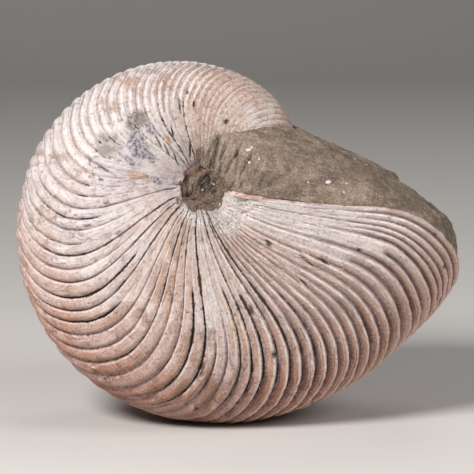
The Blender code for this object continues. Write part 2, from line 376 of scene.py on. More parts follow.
# Where the grooves are cracked open: between which turns and which sizes of section angle, each
# with the softness of its ends, and how far in the least and the most open groove
CRACKED = (
    ((-134, -60, 12), (50, 116, 14), (0.45, 1.2)),
    ((-74, -54, 8), (30, 84, 12), (0.4, 1.1)),
    ((-185, -134, 12), (50, 112, 10), (0.2, 0.7)),
    ((-258, -188, 8), (62, 108, 8), (0.3, 0.9)),
)


def crack_field(turn, size, openness):
    cracked = 0.28 * band(turn, -170, -50, 10)
    for turns, sizes, openings in CRACKED:
        here = band(turn, *turns) * band(size, *sizes) * blend(*openings, openness)
        cracked = np.maximum(cracked, here)
    return cracked


def rib_relief(turns, rib, phase, across, rng):
    """The turn, the depth under the envelope and the fields that follow the ribs."""
    count = len(turns)
    strength = rng.uniform(0.8, 1.15, count)
    strength[-1] = 0.0
    ends_at = groove_ends(turns, rng)
    openness = rng.uniform(0.0, 1.0, count)
    turn = blend(turns[rib], turns[rib + 1], phase)
    size = abs(across)
    wander = flat_noise(turn / 7, across / 9, 11, 3)
    ragged = flat_noise(turn / 1.3, across / 1.8, 12)
    chip = smooth(flat_noise(turn / 2.4, across / 3.4, 13), 0.16, 0.34)

    def share_of(k):
        return strength[k] * smooth(size, ends_at[k] + 4, ends_at[k])

    older, younger = share_of(rib), share_of(rib + 1)
    both = blend(older, younger, phase)
    from_middle = abs(2 * phase - 1)

    # Shares of the three kinds of rib
    ridged = band(turn, -262, -190, 12) * smooth(size, 70, 56)
    toothed = smooth(turn, -92, -46)
    flat = (1 - ridged) * (1 - toothed)
    oldest = smooth(turn, -285, -225)

    # Flat ribs have a slit between them and a low crown
    narrow = blend(0.20, 0.10, smooth(size, 36, 60)) * (1 + 0.5 * ragged)
    slit = older * smooth(phase, narrow, 0) + younger * smooth(phase, 1 - narrow, 1.0)
    crown = both * from_middle ** 2.6
    crown_depth = blend(1.50, 0.38, smooth(size, 44, 84)) * blend(0.16, 1.0, oldest)
    slit_depth = blend(0.25, 0.62, smooth(size, 40, 64)) * blend(0.12, 1.0, oldest)
    fan = band(turn, -100, -60, 10) * smooth(size, 54, 68)

    # Ridged ribs are rounded, and toothed ones rise slowly and drop at their younger side
    ridge_dip = both * (0.5 + 0.5 * np.cos(TAU * phase ** 0.85)) ** 0.8
    ridge_depth = 0.95 * blend(1.0, 0.5, smooth(size, 48, 66))
    drop_at = 0.77 + 0.05 * ragged
    tooth_dip = older * (1 - ((phase - 0.05) / (drop_at - 0.05)).clip(0, 1) ** 0.8)
    tooth_dip += younger * smooth(phase, drop_at, 0.96)
    tooth_depth = 1.95 * blend(1.0, 0.15, smooth(size, 58, 90))
    tooth_depth = tooth_depth * blend(1.0, 0.42, smooth(turn, -18, -10))

    dip = flat * crown_depth * crown + np.maximum(flat, fan) * slit_depth * slit
    dip += ridged * ridge_depth * ridge_dip
    dip = (dip + toothed * tooth_depth * tooth_dip) * (1 + 0.30 * wander)
    dip += toothed * 0.35 * chip * smooth(phase, 0.45, 0.75)
    dip += flat * oldest * 0.30 * chip * smooth(from_middle, 0.50, 0.86)

    out, _ = whorl_section(across)
    pitch = np.radians(turns[rib + 1] - turns[rib]) * coil_radius(turn) * out / MM
    near = np.minimum(phase * pitch + 3 * (1 - np.minimum(older, 1)),
                      (1 - phase) * pitch + 3 * (1 - np.minimum(younger, 1)))
    # The groove field tells the material where to paint shade into the grooves.
    in_groove = flat * np.maximum(slit * crown_depth ** 0.5, crown * crown_depth)
    in_groove = in_groove + ridged * 0.75 * ridge_dip + toothed * tooth_dip
    # The crest field is painted white: worn chalk, and a painted highlight along the crests.
    crest = toothed * younger * smooth(phase, drop_at - 0.13, drop_at - 0.03)
    crest = crest * smooth(phase, drop_at + 0.06, drop_at + 0.01) * (1 - 0.8 * chip)
    thread = toothed * band(size, 60, 110, 12) * smooth(abs(phase - 0.75), 0.09, 0.03)
    crest = np.maximum(crest, 0.9 * thread * smooth(ragged + wander, -0.35, 0.0))
    crest += ridged * smooth(abs(phase - 0.55), 0.30, 0.10)
    crest += 0.5 * flat * (1 - oldest) * smooth(abs(phase - 0.55), 0.22, 0.05)
    open_here = np.where(phase < 0.5, openness[rib], openness[rib + 1])
    fields = {"near": near, "cracked": crack_field(turn, size, open_here),
              "groove": np.clip(in_groove, 0, 1.2), "crest": crest, "ridged": ridged,
              "slope": phase}
    return turn, dip * MM, fields


def line_wobble(turn, across):
    """How far growth lines wander round the coil, and how far the lip is chipped back."""
    wobble = 0.55 * flat_noise(turn / 20, across / 22, 3, 3)
    wobble = wobble * smooth(LIP_ANGLE - turn, 0, 12) * smooth(turn, -350, -330)
    chipped = 0.5 * abs(flat_noise(0 * turn, across / 4, 21, 3))
    return wobble - chipped * smooth(LIP_ANGLE - turn, 1.5, 0)


def wear(turn, across, skin):
    """How deep the skin is worn, in millimetres, and the fields that show it."""
    size = abs(across)
    fields = mark_fields(skin)
    swell = 0.30 * noise(skin, 14 * MM, 5)
    grain = 0.12 * noise(skin, 1.6 * MM, 6)
    layer = noise(flat_points(turn / 9, across / 16) + skin / (30 * MM), 1.0, 15, 4)
    layer = layer - 0.6 * smooth(turn, -150, -200)
    sandy = smooth(size, 108, 115) * smooth(turn, -66, -48)
    sandy = np.maximum(sandy, smooth(size, 114, 118) * smooth(turn, -150, -120))
    grain = grain + sandy * 0.55 * noise(skin, 1.5 * MM, 8)
    sink = 0.25 + swell + grain + 0.14 * smooth(layer, 0.02, 0.06)
    sink = sink + 0.35 * fields["grey"] + 0.75 * fields["pit_and_shadow"] + 0.25 * fields["bare"]
    sink -= 0.30 * fields["flake"]
    worn_rim = np.maximum(noise(skin, 3.2 * MM, 16, 3) + 0.05, 0)
    sink += 2.2 * worn_rim * smooth(size, 110, 118)
    sink *= smooth(LIP_ANGLE - turn, 0, 2)
    return np.maximum(sink, 0), {"sandy": sandy, "layer": layer, **fields}


def make_shell(centre):
    rng = np.random.default_rng(RIB_SEED)
    turns = groove_turns(rng)
    far = np.linspace(-NAVEL_RIM, 0, FAR_COLUMNS + 1)[:-1]
    across = np.concatenate((far, np.linspace(0, NAVEL_RIM, NEAR_COLUMNS + 1)))
    rows = [(k, phase) for k in range(len(turns) - 1) for phase in rib_phases(turns[k])]
    rows.append((len(turns) - 2, 1.0))
    rib, phase = (np.array(column)[:, None] for column in zip(*rows))
    turn, depth, fields = rib_relief(turns, rib, phase, across[None, :], rng)
    turn = np.broadcast_to(turn, depth.shape)
    span = np.broadcast_to(across, depth.shape)
    line = turn + line_wobble(turn, span)
    skin = coil_point(line, span)
    sink, worn_fields = wear(turn, span, skin)
    fields = {**fields, **worn_fields, "turn": turn, "across": span}
    filled = np.maximum(fields["grey"], fields["ash"])
    filled = np.maximum(0.6 * filled, 0.4 * fields["violet"])
    flare = LIP_FLARE * smooth(turn, -18, -6) * smooth(abs(span), 66, 30)
    depth = depth * (1 - filled) + sink * MM - flare
    skin = skin - coil_normal(line, span) * depth[..., None]
    grid, fields = close_behind(skin, fields, line[0], across)
    grid = grid + centre

    # The underside is worn flat, with an uneven border
    worn = 0.12 * MM * (1 + noise(grid, 2.5 * MM, 9))
    worn = np.where(grid[..., 2] < -0.6 * MM, 0.0, worn)
    grid[..., 2] = np.maximum(grid[..., 2], worn)

    tips = [centre + ring_point(0.0, 0.0, side * PIT_FLOOR) for side in (-1, 1)]
    shell = tipped_mesh("ribbed_shell_skin", grid, tips)
    fields = {name: np.append(values, (0.0, 0.0)) for name, values in fields.items()}
    write_fields(shell.data, fields)
    return shell


def close_behind(skin, fields, first, across):
    """The skin's rows with those that the stone hides, and with the walls of the navel pits."""
    start = old_turn_start(across)
    hidden = np.stack([coil_point(blend(start, first, k / 3), across) for k in range(3)])
    wall = np.stack([wall_point(across, t, 0.0) for t in (0.0, 0.5, 1.0)])
    floor = np.stack([blend(wall[-1], hidden[0], t) for t in (0.33, 0.67)])
    grid = np.concatenate((hidden, skin, wall, floor))
    tail = len(wall) + len(floor)
    skin_rows = len(grid) - tail
    far = pit_columns(grid[:, 0], -1, skin_rows)
    near = pit_columns(grid[:, -1], 1, skin_rows)
    grid = np.concatenate((np.stack(far[::-1], axis=1), grid, np.stack(near, axis=1)), axis=1)
    added = ((len(hidden), tail), (PIT_COLUMNS, PIT_COLUMNS))
    fields = {name: np.pad(np.broadcast_to(value, skin.shape[:2]), added, "edge")
              for name, value in fields.items()}
    fields["broken"] = np.zeros(grid.shape[:2])
    fields["broken"][-tail - 1:] = 1.0
    return grid, fields


def pit_columns(column, side, skin_rows):
    """The wall of one navel pit, as columns that follow the grid's outermost one."""
    angle = np.degrees(np.unwrap(np.arctan2(column[:, 2], column[:, 0])))
    back = len(column) - skin_rows
    share = (np.arange(back) + 1) / (back + 1)
    angle[skin_rows:] = blend(angle[skin_rows - 1], angle[0] + TURN, share)
    angle = np.sort(angle)
    angle[1:-1] = (angle[:-2] + angle[1:-1] + angle[2:]) / 3
    floor = ring_point(angle, PIT_RADIUS, side * PIT_FLOOR)
    return [blend(column, floor, k / PIT_COLUMNS) for k in range(1, PIT_COLUMNS + 1)]


def quads_around(rows, columns):
    """The numbers of a grid's points, and its faces, whose rows close on themselves."""
    at = np.arange(rows * columns).reshape(rows, columns)
    after = np.roll(at, -1, axis=0)
    quads = np.stack((at[:, :-1], at[:, 1:], after[:, 1:], after[:, :-1]), axis=-1)
    return at, after, quads.reshape(-1, 4).tolist()


def tipped_mesh(name, rows, tips):
    """A closed mesh from rows that close on themselves, with a tip at each end of the columns."""
    count, columns = rows.shape[:2]
    at, after, faces = quads_around(count, columns)
    first_tip, last_tip = count * columns, count * columns + 1
    faces += [(at[k, 0], after[k, 0], first_tip) for k in range(count)]
    faces += [(after[k, -1], at[k, -1], last_tip) for k in range(count)]
    return new_mesh(name, np.concatenate((rows.reshape(-1, 3), tips)), faces)


def add_object(name, data):
    obj = bpy.data.objects.new(name, data)
    bpy.context.scene.collection.objects.link(obj)
    return obj


def new_mesh(name, points, faces):
    mesh = bpy.data.meshes.new(name)
    mesh.from_pydata([tuple(p) for p in points], [], faces)
    bm = bmesh.new()
    bm.from_mesh(mesh)
    if bm.calc_volume(signed=True) < 0:
        bmesh.ops.reverse_faces(bm, faces=bm.faces)
    bm.to_mesh(mesh)
    bm.free()
    mesh.shade_smooth()
    return add_object(name, mesh)


def read_rows(items, name, width, kind):
    rows = np.empty((len(items), width), kind)
    items.foreach_get(name, rows.ravel())
    return rows


def write_points(mesh, points):
    mesh.vertices.foreach_set("co", points.astype(np.float32).ravel())
    mesh.update()


def write_fields(mesh, fields):
    for name, values in fields.items():
        data = mesh.attributes.new(name, "FLOAT", "POINT").data
        data.foreach_set("value", values.astype(np.float32))


# Stone

SEAT = 0.5 * MM                # how far the stone is let into the shell, so that no gap shows
PLUG_SEAT = 2.2 * MM           # likewise in the navels, whose walls are steep
SOFTENING = 6                  # rounds of smoothing
SLOPE_SOFTENING = 110          # likewise for the slope from the mouth's stone to the navel
EDGE_SPILL = 3.0               # how many degrees further the stone runs at its corner
STONE_SPAN = 0.992             # share of the way to each navel's rim that the mouth's stone takes
STONE_COLUMNS = 90
TOP_ROWS = 60
UNDER_ROWS = 16
PLUG_ROWS = 72
STONE_VOXEL = 0.62 * MM
EDGE_THICKNESS = 1.4 * MM
LEDGE_AT = 0.545               # share of the way from lip to edge at which the face steps down
LEDGE_DROP = 1.3 * MM
SHELF_RISE = 1.3 * MM          # and how far it stands up above that step
PLUG_TOP = 0.0200
REACH_BY_LIP = 0.0103
REACH_BY_EDGE = 0.0076
REACH_LOW = 0.0190
HIGH_BY_LIP = 0.0395
HIGH_BY_EDGE = 0.0225
PLUG_OLD = 1.08
PLUG_YOUNG = 0.88
PLUG_RAGGED = 0.22


def swelling(across, t):
    """How far the open face of the stone stands out, with its step, from rim (0) to edge (1)."""
    spread = np.exp(-(across / BULGE_SPREAD) ** 2)[..., None]
    lean = np.exp(-(across / LEAN_SPREAD) ** 2)[..., None]
    way = unit(blend(np.array((0.0, 0.0, 1.0)), BULGE_LEAN, lean))
    height = (BULGE_FLANK + BULGE_BELLY * spread) * t * (1 - t) * math.exp(-BULGE_SKEW * t)
    past_step = smooth(t, LEDGE_AT - 0.03, LEDGE_AT + 0.01)
    ledge = LEDGE_DROP * (1 - past_step) * smooth(t, 0.1, 0.4)
    shelf = SHELF_RISE * past_step * smooth(t, 0.82, 0.68)
    return way * (height + spread * (shelf - ledge))


def make_mouth_stone():
    """The stone in the mouth, as a plain closed body."""
    across = np.linspace(-NAVEL_RIM, NAVEL_RIM, STONE_COLUMNS) * STONE_SPAN
    wall = [wall_point(across, t, -SEAT) for t in (0.0, 0.33, 0.67, 1.0)]
    start = old_turn_start(across)
    edge = stone_edge(across) + EDGE_SPILL * band(abs(across), 80, 106, 9)
    under = [below(blend(start, edge, t), across, SEAT + 0 * across)
             for t in np.linspace(0, 1, UNDER_ROWS)]
    front = [blend(wall[-1], under[0], t) for t in (0.25, 0.5, 0.75)]
    rim = below(edge, across, -EDGE_THICKNESS + 0 * across)
    top = []
    for k in range(TOP_ROWS):
        t = (1 - k / TOP_ROWS) ** 1.3
        top.append(blend(wall[0], rim, t) + swelling(across, t))
    rows = np.stack(wall + front + under + top)
    at, _, faces = quads_around(*rows.shape[:2])
    faces += [at[:, 0].tolist(), at[::-1, -1].tolist()]
    return new_mesh("mouth_stone", rows.reshape(-1, 3), faces)


def make_plug_body(side_sign):
    """The stone in one navel, as a plain closed body that runs into the mouth's stone."""
    after_lip = LIP_ANGLE - TURN + NAVEL_TURN + 3
    angles = np.linspace(after_lip, LIP_ANGLE - 1.5, PLUG_ROWS)
    out, side = whorl_section(NAVEL_RIM)
    radius = coil_radius(angles)
    rim_out, rim_side = radius * out + SEAT, radius * side
    opened = smooth(angles, EDGE_NAVEL + 8, EDGE_NAVEL - 4)
    share = np.clip((angles - after_lip) / (EDGE_NAVEL - after_lip), 0, 1)
    reach = blend(REACH_BY_LIP, REACH_BY_EDGE, share)
    low = blend(blend(PIT_FLOOR, rim_side, 0.5), REACH_LOW, opened)
    full = blend(PLUG_OLD, PLUG_YOUNG, smooth(angles, EDGE_NAVEL, LIP_ANGLE))
    full = full + PLUG_RAGGED * noise(ring_point(angles, 0.008, 0.0), 2.6 * MM, 45)
    high = blend(blend(PIT_FLOOR, rim_side, full), blend(HIGH_BY_LIP, HIGH_BY_EDGE, share), opened)
    wall_out = blend(blend(PIT_RADIUS, rim_out, full) + PLUG_SEAT, reach, opened)
    low_out = blend(blend(PIT_RADIUS, rim_out, 0.5), reach, opened)
    floor = ring_point(angles, PIT_RADIUS, side_sign * PIT_FLOOR)
    rings = [floor, ring_point(angles, low_out, side_sign * low),
             ring_point(angles, wall_out, side_sign * high)]
    middle = ring_point(0.0, 0.0, side_sign * PLUG_TOP)
    rings += [blend(rings[-1], middle, t) for t in (0.3, 0.6, 0.85)]
    rows = np.stack(rings, axis=1)
    tips = [ring_point(0.0, 0.0, side_sign * PIT_FLOOR), middle]
    return tipped_mesh("plug", rows, tips)


def joined_and_remeshed(name, objects, voxel):
    bpy.ops.object.select_all(action="DESELECT")
    for obj in objects:
        obj.select_set(True)
    bpy.context.view_layer.objects.active = objects[0]
    bpy.ops.object.join()
    obj = objects[0]
    obj.name = obj.data.name = name
    remesh = obj.modifiers.new("remesh", "REMESH")
    remesh.mode = "VOXEL"
    remesh.voxel_size = voxel
    bpy.ops.object.modifier_apply(modifier=remesh.name)
    keep_largest_part(obj.data)
    return obj


def read_edges(mesh):
    return read_rows(mesh.edges, "vertices", 2, np.int32)


def keep_largest_part(mesh):
    """Remove the loose bits that remeshing leaves behind."""
    edges = read_edges(mesh)
    part = np.arange(len(mesh.vertices))
    settled = False
    while not settled:
        lowest = part.copy()
        np.minimum.at(lowest, edges[:, 0], part[edges[:, 1]])
        np.minimum.at(lowest, edges[:, 1], part[edges[:, 0]])
        lowest = lowest[lowest]
        settled = (lowest == part).all()
        part = lowest
    largest = np.bincount(part).argmax()
    bm = bmesh.new()
    bm.from_mesh(mesh)
    bm.verts.ensure_lookup_table()
    loose = [bm.verts[k] for k in np.flatnonzero(part != largest)]
    bmesh.ops.delete(bm, geom=loose, context="VERTS")
    bm.to_mesh(mesh)
    bm.free()


def relaxed(points, edges, rounds):
    """Points moved halfway to the mean of their neighbours, several times."""
    count = np.bincount(edges.ravel(), minlength=len(points))[:, None]
    for _ in range(rounds):
        total = np.zeros_like(points)
        np.add.at(total, edges[:, 0], points[edges[:, 1]])
        np.add.at(total, edges[:, 1], points[edges[:, 0]])
        points = blend(points, total / count, 0.5)
    return points


# Shell flecks in the stone: place in the photograph, and half of each one's width and height
FLECKS = (
    (248.5, 150, 2.6, 1.5), (252, 147.5, 1.5, 0.9), (255, 148.5, 1.2, 0.6), (249.5, 162.5, 1.6, 1.2),
    (259.5, 160, 0.9, 0.8), (308, 181.5, 1.2, 0.9), (328.5, 182, 3.0, 1.6), (355, 158.5, 2.0, 0.6),
    (360, 157.5, 2.2, 0.6), (203, 189, 3.2, 0.6), (212, 184.5, 2.8, 0.6), (346, 184, 0.7, 1.1),
    (344, 192.5, 0.7, 1.2), (366, 164, 1.6, 0.5),
)
# Scratches on the stone, likewise, and how far they lean for each pixel that they run down
SCRATCHES = (
    (238, 149, 1.1, 7), (233, 158, 1.0, 6), (228, 166, 1.2, 8), (244, 166, 1.2, 9),
    (241, 183, 1.0, 5), (262, 180, 1.0, 7), (223, 152, 1.2, 9), (250, 158, 0.9, 5),
    (270, 184, 0.8, 4), (232, 184, 0.9, 6), (219, 170, 1.2, 9), (256, 170, 0.8, 4),
)
SCRATCH_LEAN = 0.42
# The hollow beside the navel: its foot in the photograph, and its lean for each pixel up
WEDGE_FOOT = (203.0, 165.0)
WEDGE_LEAN = 0.40
# Pits and clefts in the navel's stone, likewise. They are painted near black as shade.
CLEFTS = (
    (195, 198, 2.2, 2.0), (207, 202, 2.4, 2.6), (199, 186, 1.6, 1.2), (211, 192, 1.8, 1.6),
    (205, 178, 1.6, 5.5), (209, 163, 1.0, 7.0), (190, 192, 1.2, 1.4), (236, 152, 0.8, 5.0),
)


def photo_pixels(points):
    """Where the camera sees points that are measured from the coil's middle."""
    right, up, back = (np.array(axis) for axis in camera_axes())
    pixel = MM_PER_PIXEL * MM
    shrink = CAMERA_DISTANCE / (CAMERA_DISTANCE - points @ back / pixel)
    x, y = points @ right / pixel, points @ up / pixel
    off_x, off_y = COIL_PIXEL[0] - IMAGE / 2, COIL_PIXEL[1] - IMAGE / 2
    return IMAGE / 2 + (x + off_x) * shrink, IMAGE / 2 - (y - off_y) * shrink


def spots(points, places, ragged, soft, slant=0.0):
    """How strongly the near side's points lie in a list of ellipses in the photograph."""
    across, down = photo_pixels(points)
    shown = np.zeros(len(points))
    for x, y, half_width, half_height in places:
        sideways = across - x + slant * (down - y)
        away = np.hypot(sideways / half_width, (down - y) / half_height)
        shown = np.maximum(shown, smooth(away + ragged, 1 + soft, 1 - soft))
    return shown * smooth(-points[:, 1], 0.0, 0.004)


def wedge_by_navel(points, ragged):
    """The dark hollow that runs up from each navel along the stone's old edge."""
    near_side = points * np.where(points[:, 1:2] > 0, (1, -1, 1), (1, 1, 1))
    across, down = photo_pixels(near_side)
    old_edge = WEDGE_FOOT[0] + WEDGE_LEAN * np.maximum(WEDGE_FOOT[1] - down, 0)
    width = blend(6.0, 15.0, smooth(down, 130, 182)) + 3 * ragged
    shown = smooth(across - old_edge - width, 3, -3)
    shown = shown * smooth(down, 126, 140) * smooth(down, 200, 190)
    return shown * smooth(near_side[:, 1], -0.010, -0.014)


def slope_softened(points, edges):
    """Points whose slope between the mouth's stone and each navel is made smooth."""
    x, y, z = points.T
    from_edge = x - 0.0020 - 0.45 * np.maximum(z - 0.007, 0)
    slope = smooth(np.hypot(x - 0.006, z - 0.004), 0.017, 0.011)
    slope = slope * smooth(abs(y), 0.012, 0.016) * smooth(from_edge, -0.001, 0.003)
    return blend(points, relaxed(points, edges, SLOPE_SOFTENING), slope[:, None])


def stone_relief(points):
    """How far the stone's points stand out, in millimetres, and the fields of its regions."""
    x, y, z = points.T
    aside = abs(y)
    slant = points @ np.array((0.90, 0.15, -0.42)) / (1.3 * MM)
    down_slant = points @ np.array((0.42, 0.0, 0.90)) / (9 * MM)
    scratch_place = np.stack((slant, down_slant, y / (9 * MM)), -1)
    scratched = noise(scratch_place, 1.0, 43, 3)
    fine = noise(points, 2.2 * MM, 42)
    plug = smooth(np.hypot(x - 0.002, z + 0.001) + 0.0012 * fine, 0.0095, 0.0070)
    plug *= smooth(aside, 0.010, 0.014)
    by_navel = smooth(x, 0.024, 0.008) * smooth(aside, 0.008, 0.016) * (1 - plug)
    stained = smooth(z - 0.6 * x + 0.002 * fine, 0.0020, 0.0060)
    stained = stained * smooth(x, 0.006, 0.003) * smooth(aside, 0.010, 0.014)
    stained *= smooth(z + 0.001 * fine, 0.0085, 0.0055)
    wedge = wedge_by_navel(points, fine)
    flecks = spots(points, FLECKS, 0.35 * fine, 0.35)
    clefts = spots(points, CLEFTS, 0.5 * fine, 0.6)
    scratches = spots(points, SCRATCHES, 0.3 * fine, 0.5, SCRATCH_LEAN)
    relief = 0.80 * noise(points, 10 * MM, 41, 3) + 0.40 * fine
    relief -= blend(0.25, 1.1, by_navel) * np.maximum(scratched - 0.08, 0)
    relief += plug * 1.5 * noise(points, 3.0 * MM, 44, 3)
    relief = relief - 1.6 * clefts + 0.12 * flecks - 0.7 * scratches
    relief -= wedge * (0.6 + 1.6 * np.maximum(scratched, 0))
    fields = {"by_navel": by_navel, "plug": plug, "wedge": wedge, "fleck": flecks,
              "stain": stained, "cleft": np.maximum(clefts, 0.7 * scratches)}
    return relief, fields


def make_stone(centre):
    bodies = [make_mouth_stone(), make_plug_body(1), make_plug_body(-1)]
    stone = joined_and_remeshed("stone_fill_rough", bodies, STONE_VOXEL)
    mesh = stone.data
    edges = read_edges(mesh)
    points = read_rows(mesh.vertices, "co", 3, np.float32).astype(float)
    points = slope_softened(relaxed(points, edges, SOFTENING), edges)
    write_points(mesh, points)
    normal = read_rows(mesh.vertices, "normal", 3, np.float32)
    relief, fields = stone_relief(points)
    write_points(mesh, points + normal * (relief * MM)[:, None] + centre)
    write_fields(mesh, fields)
    mesh.shade_smooth()
    return stone


# Materials. A colour of three values is given from 0 to 255, as it looks on a screen.

BROWN = (168, 120, 95)
UMBER = (104, 68, 52)
LILAC = (148, 134, 146)
DARK = (70, 47, 37)
CHALK = (250, 243, 239)


def srgb(*values):
    shares = [value / 255 for value in values]
    linear = [c / 12.92 if c < 0.04045 else ((c + 0.055) / 1.055) ** 2.4 for c in shares]
    return (*linear, 1.0)


class Graph:
    """Short names for the nodes of one material, and the colour that is painted so far.

    A name stands for a field of the mesh. Among values that are multiplied, a tuple is a ramp.
    """

    def __init__(self, name):
        self.material = bpy.data.materials.new(name)
        self.material.use_nodes = True
        self.tree = self.material.node_tree
        self.shader = self.tree.nodes["Principled BSDF"]
        self.place = self.add("ShaderNodeTexCoord").outputs["Object"]
        self.fields = {}

    def add(self, kind, inputs=(), **settings):
        node = self.tree.nodes.new(kind)
        for key, value in settings.items():
            setattr(node, key, value)
        for key, value in dict(inputs).items():
            self.feed(node.inputs[key], value)
        return node

    def feed(self, socket, value):
        if isinstance(value, str):
            value = self.field(value)
        if isinstance(value, bpy.types.NodeSocket):
            self.tree.links.new(value, socket)
        elif socket.type == "RGBA" and len(value) == 3:
            socket.default_value = srgb(*value)
        else:
            socket.default_value = value

    def field(self, name):
        if name not in self.fields:
            node = self.add("ShaderNodeAttribute", attribute_name=name)
            self.fields[name] = node.outputs["Fac"]
        return self.fields[name]

    def maths(self, operation, *values):
        return self.add("ShaderNodeMath", enumerate(values), operation=operation).outputs[0]

    def chain(self, operation, first, *others):
        for value in others:
            first = self.maths(operation, first, value)
        return first

    def times(self, *values):
        values = [self.ramp(*value) if isinstance(value, tuple) else value for value in values]
        return self.chain("MULTIPLY", *values)

    def plus(self, *values):
        return self.chain("ADD", *values)

    def largest(self, *values):
        return self.chain("MAXIMUM", *values)

    def weighted(self, *pairs):
        return self.plus(*(self.times(value, weight) for value, weight in pairs))

    def jittered(self, value, noise, amount):
        """A value that noise moves up and down."""
        return self.maths("MULTIPLY_ADD", self.maths("SUBTRACT", noise, 0.5), amount, value)

    def ramp(self, value, start, end, at_start=0.0, at_end=1.0):
        inputs = {"Value": value, "From Min": start, "From Max": end,
                  "To Min": at_start, "To Max": at_end}
        return self.add("ShaderNodeMapRange", inputs, interpolation_type="SMOOTHSTEP").outputs[0]

    def between(self, share, at_none, at_full):
        return self.ramp(share, 0.0, 1.0, at_none, at_full)

    def band(self, value, start, full, full_end, end):
        return self.times(self.ramp(value, start, full), self.ramp(value, end, full_end))

    def mix(self, factor, first, second, mode="MIX"):
        inputs = {0: factor, 6: first, 7: second}
        return self.add("ShaderNodeMix", inputs, data_type="RGBA", blend_type=mode).outputs[2]

    def mottled(self, noise, low, high, first, second):
        """The first colour where the noise is low, and the second where it is high."""
        return self.mix(self.ramp(noise, low, high), first, second)

    def paint(self, over, *shares, mode="MIX"):
        """Lay a colour over the one so far, as strongly as the product of the shares."""
        self.colour = self.mix(self.times(*shares), self.colour, over, mode)

    def vector(self, x, y, z=0.0):
        return self.add("ShaderNodeCombineXYZ", enumerate((x, y, z))).outputs[0]

    def noise(self, vector, scale, detail, roughness, distortion=0.0):
        inputs = {"Vector": vector, "Scale": scale, "Detail": detail,
                  "Roughness": roughness, "Distortion": distortion}
        return self.add("ShaderNodeTexNoise", inputs).outputs[0]

    def along_lines(self, turn_scale, across_scale, detail, roughness=0.6):
        """Noise that runs along the growth lines."""
        lines = self.vector(self.times("turn", turn_scale), self.times("across", across_scale))
        return self.noise(lines, 1.0, detail, roughness)

    def warped_lines(self, turn_scale, across_scale, noise, turn_warp, across_warp):
        """The place along and across the growth lines, shifted by noise."""
        u = self.maths("MULTIPLY_ADD", "turn", turn_scale, self.times(noise, turn_warp))
        v = self.maths("MULTIPLY_ADD", "across", across_scale, self.times(noise, across_warp))
        return self.vector(u, v)

    def cells(self, vector, output, feature="F1"):
        inputs = {"Vector": vector, "Scale": 1.0}
        return self.add("ShaderNodeTexVoronoi", inputs, feature=feature).outputs[output]

    def finish(self, roughness, specular, height, distance):
        inputs = {"Height": height, "Distance": distance, "Strength": 1.0}
        bump = self.add("ShaderNodeBump", inputs).outputs[0]
        for name, value in (("Base Color", self.colour), ("Roughness", roughness),
                            ("Specular IOR Level", specular), ("Normal", bump)):
            self.feed(self.shader.inputs[name], value)
        return self.material


def shell_graph():
    """The shell's material with its noises, its regions and its white."""
    g = Graph("fossil_shell")
    g.size = g.maths("ABSOLUTE", "across")
    g.streak = g.along_lines(0.5, 0.03, 4)
    g.fine_streak = g.along_lines(2.4, 0.11, 4)
    g.hair = g.along_lines(5.5, 0.16, 2)
    g.cloud = g.noise(g.place, 48, 4, 0.6)
    moved = g.add("ShaderNodeMapping", {"Vector": g.place, "Location": (3, 5, 7)})
    g.tint = g.noise(moved.outputs[0], 75, 5, 0.65)
    g.blotch = g.noise(g.place, 210, 5, 0.7)
    g.grain = g.noise(g.place, 1150, 4, 0.7)
    g.young = g.ramp("turn", -95, -45)
    g.lower = g.ramp("turn", -166, -106)
    g.old = g.ramp("turn", -235, -270)
    g.belly = g.ramp(g.size, 78, 30)
    g.white = g.mottled(g.tint, 0.4, 0.58, (240, 231, 226), (229, 217, 216))
    return g


def paint_ground(g):
    """White above and tan below, in clouds and streaks, where the outer layer has flaked off."""
    tan = g.mottled(g.tint, 0.42, 0.58, (216, 180, 152), (210, 176, 164))
    warm = g.plus(g.between(g.lower, 0, 0.5), g.ramp(g.cloud, 0.36, 0.64, -0.25, 0.35),
                  g.ramp(g.streak, 0.38, 0.62, -0.25, 0.3))
    g.colour = g.mix(warm, g.white, tan)
    layer = g.jittered("layer", g.blotch, 0.25)
    g.flaked = g.ramp(layer, 0.03, 0.045)
    g.plate_edge = g.times(g.flaked, (layer, 0.085, 0.05), (g.tint, 0.44, 0.5))
    g.paint(BROWN, g.flaked, 0.26)
    g.paint(BROWN, (g.blotch, 0.5, 0.58), (g.cloud, 0.43, 0.6), g.between(g.lower, 0.26, 0.42))
    g.paint(g.white, (g.blotch, 0.47, 0.38), 0.4)
    g.paint(LILAC, (g.streak, 0.53, 0.43), (g.blotch, 0.43, 0.55), g.between(g.young, 0.4, 0.6))
    g.paint((206, 172, 148), g.old, (g.tint, 0.4, 0.54), 0.8)
    g.paint(g.white, (g.fine_streak, 0.52, 0.66), 0.55)
    g.paint(UMBER, (g.fine_streak, 0.47, 0.33), g.between(g.young, 0.4, 0.65))
    hairs = g.between(g.young, 0.15, 0.5)
    g.paint(g.white, (g.hair, 0.52, 0.62), hairs)
    g.paint(BROWN, (g.hair, 0.46, 0.36), hairs)


